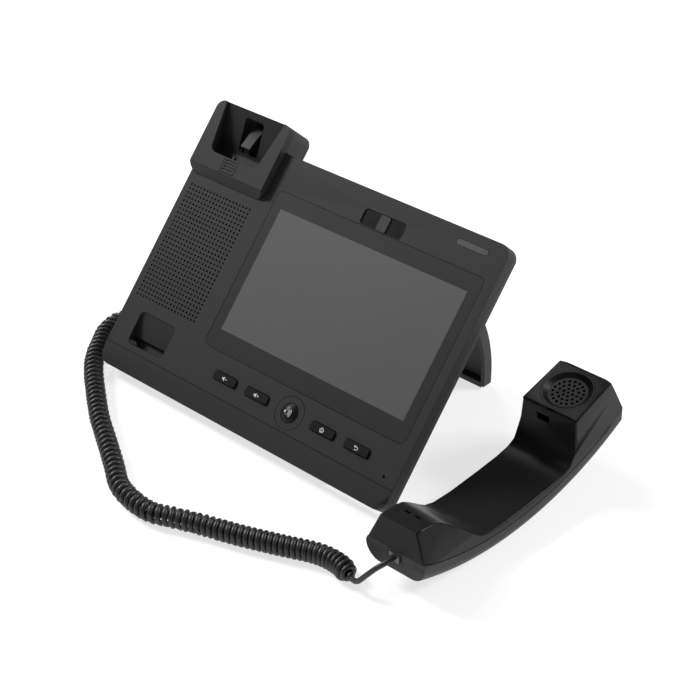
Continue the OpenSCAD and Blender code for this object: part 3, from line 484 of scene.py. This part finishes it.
def softened(node, width, finish, segments=2, shortest=0.0, keep=None, clamp=False, tiny=0.0):
    """The CAD node again with its hard edges rounded off, in place of the sharp one.

    Edges no longer than shortest, or where keep says no, stay hard. Slivers under tiny are closed first.
    """
    source = nodes[node]
    bm = bmesh.new()
    bm.from_mesh(source.data)
    bmesh.ops.remove_doubles(bm, verts=bm.verts, dist=MERGE)
    bmesh.ops.dissolve_limit(bm, angle_limit=FLAT_ANGLE, verts=bm.verts, edges=bm.edges)
    if tiny:
        bmesh.ops.dissolve_degenerate(bm, edges=bm.edges, dist=tiny)
    hard = [
        e for e in bm.edges
        if e.is_manifold and e.calc_length() > shortest and e.calc_face_angle(0.0) > HARD_ANGLE
        and (keep is None or keep((e.verts[0].co + e.verts[1].co) / 2))
    ]
    bmesh.ops.bevel(bm, geom=hard, offset=width, offset_type="OFFSET", affect="EDGES",
                    segments=segments, profile=0.5, material=-1, clamp_overlap=clamp)
    made = piece(node + "_soft", bm, finish, source["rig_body"], SHARP_DEGREES)
    weighted = made.modifiers.new("weighted_normals", "WEIGHTED_NORMAL")
    weighted.mode = "FACE_AREA"
    weighted.weight = 90
    weighted.keep_sharp = True
    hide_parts(node)


# ---------------------------------------------------------------- the cord
WIRE_D = 3.4 * MM
COIL_D = 13 * MM
OPEN_PITCH = 5.1 * MM
CLOSE_PITCH = 3.6 * MM
TURN_PLAY = 0.3 * MM
COIL_RAMP = 9 * MM
ROUTE_STEP = 0.25 * MM
TAIL_STEP = 2 * MM
POINTS_A_TURN = 16
WIRE_SIDES = 10
COIL_Z = 6.6
# The cord's routes, in millimetres, as the CAD's solids run. The coil's route lies on the desk.
COIL_ROUTE = [
    (-146, 44), (-154, 34), (-155, 25), (-151, 13), (-142, 0), (-134, -11), (-121, -24),
    (-98, -42), (-76, -58), (-55, -71), (-31, -86), (-14, -97), (2, -102), (20, -103),
    (36, -97), (52, -91), (76, -83), (99, -74), (121, -65), (137, -64), (151, -69),
]
BASE_ROUTE = [
    (-73.4, 31.8, 37), (-82, 31.8, 36.8), (-96, 34, 32), (-108, 40, 23), (-118, 48, 13),
    (-127, 54, 7.5), (-136, 54, 6.6), (-142, 49, 6.6), (-145.8, 44.3, 6.6),
]
HANDSET_ROUTE = [
    (152.4, -69.5, 6.6), (156.5, -69.8, 9), (161, -68.5, 14.6), (166, -65.6, 20.8),
    (169.8, -60.8, 24.3), (170.4, -55.5, 25),
]


def smooth_route(points, spacing):
    """Evenly spaced points on a Catmull-Rom curve through the given points."""
    dense = []
    for i in range(len(points) - 1):
        a, b = points[max(i - 1, 0)], points[i]
        c, d = points[i + 1], points[min(i + 2, len(points) - 1)]
        for step in range(24):
            t = step / 24
            dense.append(0.5 * (2 * b + t * (c - a) + t * t * (2 * a - 5 * b + 4 * c - d)
                                + t * t * t * (3 * b - a - 3 * c + d)))
    dense.append(points[-1])
    out = [dense[0]]
    carried = 0.0
    for a, b in zip(dense, dense[1:]):
        length = (b - a).length
        while carried + length >= spacing:
            a = a.lerp(b, (spacing - carried) / length)
            length = (b - a).length
            carried = 0.0
            out.append(a)
        carried += length
    if (out[-1] - points[-1]).length > spacing * 0.3:
        out.append(points[-1])
    return out


def carried_frames(line):
    """A side direction for each point of a line, carried along it without twist."""
    sides = []
    side = (line[1] - line[0]).orthogonal().normalized()
    for i, p in enumerate(line):
        ahead = (line[min(i + 1, len(line) - 1)] - line[max(i - 1, 0)]).normalized()
        side = (side - ahead * side.dot(ahead)).normalized()
        sides.append((side, ahead.cross(side)))
    return sides


def coil_pitch(share):
    """The turns are a little open at the base's end and close up towards the handset."""
    closing = min(1.0, max(0.0, (share - 0.5) / 0.35))
    return OPEN_PITCH - (OPEN_PITCH - CLOSE_PITCH) * closing


def cord_line():
    """The cord's whole centreline, with the coil's turns wound round its route."""
    axis = smooth_route([Vector((x, y, COIL_Z)) * MM for x, y in COIL_ROUTE], ROUTE_STEP)
    turn_r = (COIL_D - WIRE_D) / 2 + TURN_PLAY
    total = ROUTE_STEP * (len(axis) - 1)
    coil = []
    phase = 0.0
    last = -1.0
    for i, (p, (side, up)) in enumerate(zip(axis, carried_frames(axis))):
        at = i * ROUTE_STEP
        phase += ROUTE_STEP / coil_pitch(at / total)
        if (phase - last) * POINTS_A_TURN < 1.0:
            continue
        last = phase
        grow = min(1.0, at / COIL_RAMP, (total - at) / COIL_RAMP)
        grow = grow * grow * (3 - 2 * grow)
        turn = 2 * math.pi * phase
        coil.append(p + (side * math.cos(turn) + up * math.sin(turn)) * turn_r * grow)
    tail_in = smooth_route([Vector(p) * MM for p in BASE_ROUTE], TAIL_STEP)
    tail_out = smooth_route([Vector(p) * MM for p in HANDSET_ROUTE], TAIL_STEP)
    return tail_in[:-1] + coil[2:-2] + tail_out[1:]


def tube(line, radius, sides):
    """A closed round tube along a line."""
    bm = bmesh.new()
    rings = []
    for p, (side, up) in zip(line, carried_frames(line)):
        ring = []
        for k in range(sides):
            a = 2 * math.pi * k / sides
            ring.append(bm.verts.new(p + (side * math.cos(a) + up * math.sin(a)) * radius))
        rings.append(ring)
    for first, second in zip(rings, rings[1:]):
        for k in range(sides):
            n = (k + 1) % sides
            bm.faces.new((first[k], first[n], second[n], second[k]))
    bm.faces.new(list(reversed(rings[0])))
    bm.faces.new(rings[-1])
    bmesh.ops.recalc_face_normals(bm, faces=bm.faces)
    return bm


cord_path = cord_line()
cord_length = sum((b - a).length for a, b in zip(cord_path, cord_path[1:]))
cord = piece("curly_cord", tube(cord_path, WIRE_D / 2, WIRE_SIDES), jacket, None, 60)
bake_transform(cord)
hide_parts("base_tail", "cord_coil", "handset_tail")

# ---------------------------------------------------------------- rounded shells
# The sound holes on the face and the handset's middle on the desk, in millimetres.
GRILLE_X, GRILLE_HALF_W = -93, 30
GRILLE_Y, GRILLE_HALF_H = 4, 44
HANDSET_X, HANDSET_Y = 170.4, 28
from_face = face.inverted()


def off_the_grille(p):
    """True on the front shell's edges, away from its hundreds of sound holes."""
    q = (from_face @ p) / MM
    return not (abs(q.x - GRILLE_X) < GRILLE_HALF_W and abs(q.y - GRILLE_Y) < GRILLE_HALF_H)


def outer_handset_edge(p):
    """True on the handset's big edges, away from its dish, slots and socket."""
    x, y, z = p / MM - Vector((HANDSET_X, HANDSET_Y, 0))
    dish = 68 < y < 96 and abs(x) < 17.6 and z > 44
    mouth_slots = y < -60 and z > 40
    plug_socket = y < -78 and z > 18
    ear_slot = 50 < y < 68 and z > 42
    slots = abs(x) < 8 and (mouth_slots or plug_socket or ear_slot)
    inner = abs(x) < 12 and z < 45
    bowed_end = y > 89
    return not (dish or slots or inner or bowed_end)


softened("cradle_cup", 0.7 * MM, cradle_charcoal, shortest=0.25 * MM, clamp=True)
softened("stand", 0.5 * MM, graphite)
softened("hook_lever", 0.5 * MM, charcoal)
softened("hook_clip", 0.2 * MM, charcoal)
softened("rear_cover", 0.5 * MM, graphite, shortest=1.2 * MM)
softened("front_shell", 0.25 * MM, front_charcoal, shortest=0.6 * MM, keep=off_the_grille)
softened("handset_front_shell", 1.2 * MM, handset_charcoal, segments=3,
         shortest=2.2 * MM, keep=outer_handset_edge, tiny=0.3 * MM)
softened("handset_back_shell", 0.3 * MM, handset_back_grey_and_sheen, shortest=0.9 * MM)

# ---------------------------------------------------------------- icons on the keys
# Shapes and heights are in millimetres, counted from a key's middle on the face.
KEY_TOP = 1.3
PRINT_LIFT = 0.05
PRINT_T = 0.06 * MM
DOME_R, DOME_CROWN = 6.2, 2.2
DOME_SPHERE = (DOME_R * DOME_R + DOME_CROWN * DOME_CROWN) / (2 * DOME_CROWN)


def arc_band(cx, cy, r, half_width, start, stop, steps=8):
    """A curved stroke, as short four-sided pieces."""
    def at(radius, i):
        angle = math.radians(start + (stop - start) * i / steps)
        return cx + radius * math.cos(angle), cy + radius * math.sin(angle)

    inner, outer = r - half_width, r + half_width
    return [[at(inner, i), at(outer, i), at(outer, i + 1), at(inner, i + 1)] for i in range(steps)]


def bar(x0, y0, x1, y1):
    """An upright rectangle."""
    return [(x0, y0), (x1, y0), (x1, y1), (x0, y1)]


def icon(name, shapes, node, place, height):
    """White print on the key that stands so many places from the middle one."""
    key_middle = Vector((KEY_X + place * KEY_PITCH, KEY_Y, 0))
    bm = bmesh.new()
    for shape in shapes:
        verts = []
        for x, y in shape:
            print_point = Vector((x, y, height(x, y) + PRINT_LIFT)) * MM
            verts.append(bm.verts.new(face @ (key_middle + print_point)))
        bm.faces.new(verts)
    bmesh.ops.recalc_face_normals(bm, faces=bm.faces)
    out_of_face = face.to_3x3() @ Vector((0, 0, 1))
    for f in bm.faces:
        if f.normal.dot(out_of_face) < 0:
            f.normal_flip()
    bmesh.ops.solidify(bm, geom=bm.faces[:], thickness=PRINT_T)
    piece(name, bm, icon_white, nodes[node]["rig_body"])


def flat_top(x, y):
    """The height of a flat key, the same all over."""
    return KEY_TOP


def dome_top(x, y):
    """The height of the speaker key's dome, a cap of a ball."""
    return math.sqrt(DOME_SPHERE * DOME_SPHERE - x * x - y * y) - DOME_SPHERE + DOME_CROWN


horn = [bar(-1.9, -0.55, -1.1, 0.55), [(-1.1, -0.55), (0.1, -1.5), (0.1, 1.5), (-1.1, 0.55)]]
minus = [bar(0.8, -0.24, 2.1, 0.24)]
plus = minus + [bar(1.21, 0.24, 1.69, 0.68), bar(1.21, -0.68, 1.69, -0.24)]
big_horn = [[(x * 1.3 - 0.7, y * 1.3) for x, y in shape] for shape in horn]
waves = [quad for r in (1.5, 2.4, 3.3) for quad in arc_band(-0.9, 0, r, 0.2, -50, 50)]
roof = [
    [(0, 1.7), (-1.9, 0.1), (-1.5, -0.25), (0, 1.1)],
    [(0, 1.7), (0, 1.1), (1.5, -0.25), (1.9, 0.1)],
]
walls = [
    bar(-1.3, -1.5, -0.9, 0.3), bar(0.9, -1.5, 1.3, 0.3),
    bar(-0.9, -1.5, 0.9, -1.1), bar(-0.3, -1.1, 0.3, -0.2),
]
arrow = [
    [(-1.9, 0.75), (-0.7, 1.7), (-0.7, -0.2)],
    bar(-0.7, 0.52, 0.4, 0.98), bar(-1.0, -1.33, 0.4, -0.87),
]
bend = arc_band(0.4, -0.175, 0.925, 0.23, -90, 90)
icon("volume_down_icon", horn + minus, "volume_down_key", -2, flat_top)
icon("volume_up_icon", horn + plus, "volume_up_key", -1, flat_top)
icon("speaker_icon", big_horn + waves, "speaker_key", 0, dome_top)
icon("home_icon", roof + walls, "home_key", 1, flat_top)
icon("back_icon", arrow + bend, "back_key", 2, flat_top)

# ---------------------------------------------------------------- studio
FLOOR_HALF = 6.0
FLOOR_DROP = 0.2 * MM
WORLD_STRENGTH = 0.2


def softbox(name, place, target, size, power):
    """A rectangular area light that faces a target."""
    data = bpy.data.lights.new(name, "AREA")
    data.shape = "RECTANGLE"
    data.size, data.size_y = size
    data.energy = power
    lamp = bpy.data.objects.new(name, data)
    lamp.location = place
    lamp.rotation_euler = (Vector(target) - Vector(place)).to_track_quat("-Z", "Y").to_euler()
    bpy.context.scene.collection.objects.link(lamp)


softbox("left_softbox", (-2.6, -0.7, 2.5), (0, 0.05, 0.08), (1.0, 1.0), 108)
softbox("edge_softbox", (1.35, 1.3, 1.35), (0.15, 0.03, 0.05), (0.8, 0.45), 26)
softbox("ear_softbox", (-1.3, 0.75, 1.9), (0.17, 0.1, 0.05), (0.5, 0.5), 9)

world = bpy.data.worlds.new("studio")
world.use_nodes = True
background = world.node_tree.nodes["Background"]
background.inputs["Color"].default_value = (1, 1, 1, 1)
background.inputs["Strength"].default_value = WORLD_STRENGTH
bpy.context.scene.world = world
bpy.context.scene.view_settings.view_transform = "Standard"

floor_bm = bmesh.new()
bmesh.ops.create_grid(floor_bm, x_segments=1, y_segments=1, size=FLOOR_HALF)
floor_mesh = bpy.data.meshes.new("floor")
floor_bm.to_mesh(floor_mesh)
floor_bm.free()
floor_finish = Finish("floor_paper")
floor_tone = floor_finish.noise(3.0, 2.0, 0.5)
floor_paper = floor_finish.colour_mix(floor_tone, grey(0.42), grey(0.46))
floor_glow = floor_finish.colour_mix(floor_tone, grey(0.86), grey(0.9))
floor_mesh.materials.append(floor_finish.set(
    Base_Color=floor_paper, Roughness=0.9, Emission_Color=floor_glow, Emission_Strength=0.8))
floor = bpy.data.objects.new("floor", floor_mesh)
floor.location = (0, 0, -FLOOR_DROP)
bpy.context.scene.collection.objects.link(floor)
